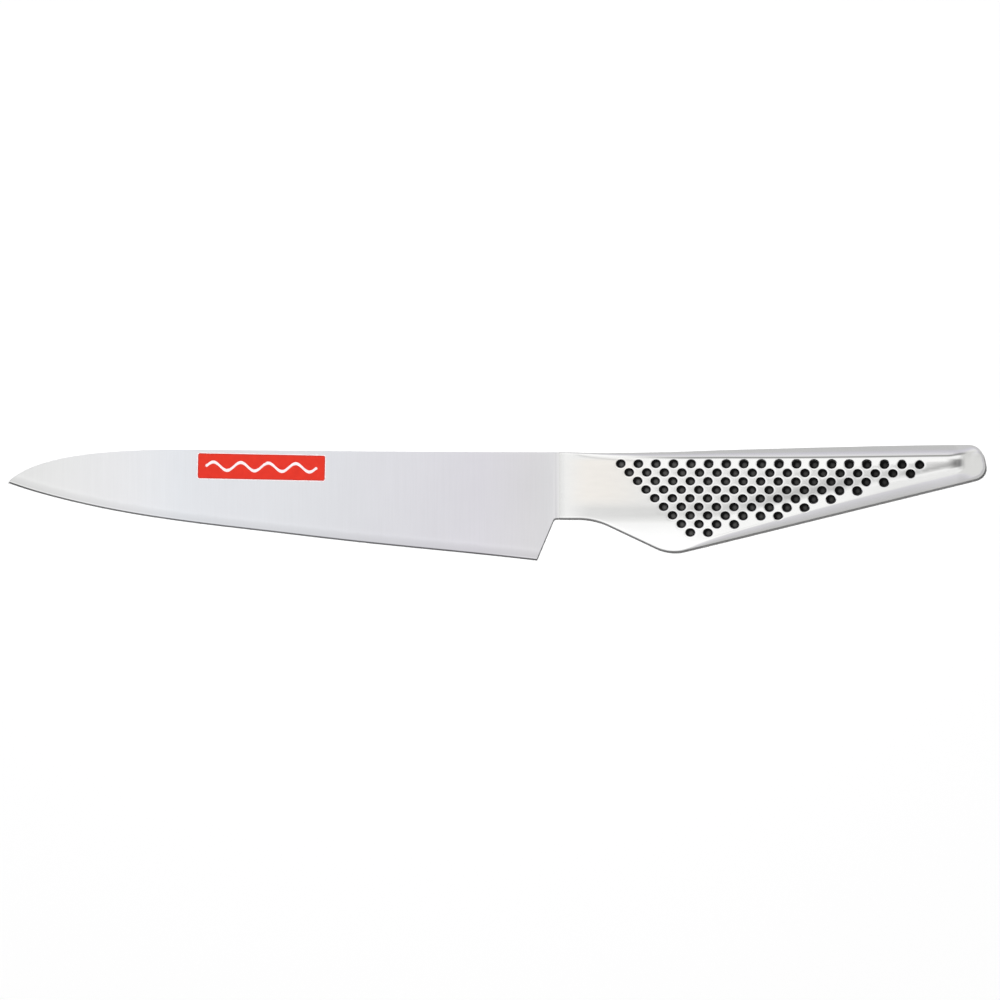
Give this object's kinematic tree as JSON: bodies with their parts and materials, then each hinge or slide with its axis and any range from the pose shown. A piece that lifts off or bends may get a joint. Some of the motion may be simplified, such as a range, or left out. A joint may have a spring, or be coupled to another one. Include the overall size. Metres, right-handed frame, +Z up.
{
  "type": "flexible kitchen knife",
  "caption": "Slim all-steel flexible kitchen knife: thin ground blade welded into a hollow dished handle with black dimples.",
  "frame": {"origin": "middle of the knife's length and height, on the surface that its back face lies on", "axes": "+X from the tip towards the butt, +Y from the cutting edge towards the spine, +Z up through the thickness, towards the face with the label"},
  "size_m": [0.2776, 0.0324, 0.0108],
  "materials": {
    "blade_steel": "satin, ground from spine to edge, with a honed bevel",
    "handle_steel": "bead-satined and lightly polished",
    "weld_steel": "ground flush and polished",
    "sand": "dry fine sand",
    "black_enamel": "glossy black enamel",
    "red_label": "printed film, semi-gloss"
  },
  "bodies": {
    "root": {"blade": "blade_steel", "handle_shell_front": "handle_steel", "handle_shell_back": "handle_steel", "seam_weld": "weld_steel", "neck_weld": "weld_steel", "filler_plug": "weld_steel", "balance_sand": "sand", "dimple_enamel_front": "black_enamel", "dimple_enamel_back": "black_enamel", "flex_label": "red_label"}
  },
  "joints": []
}
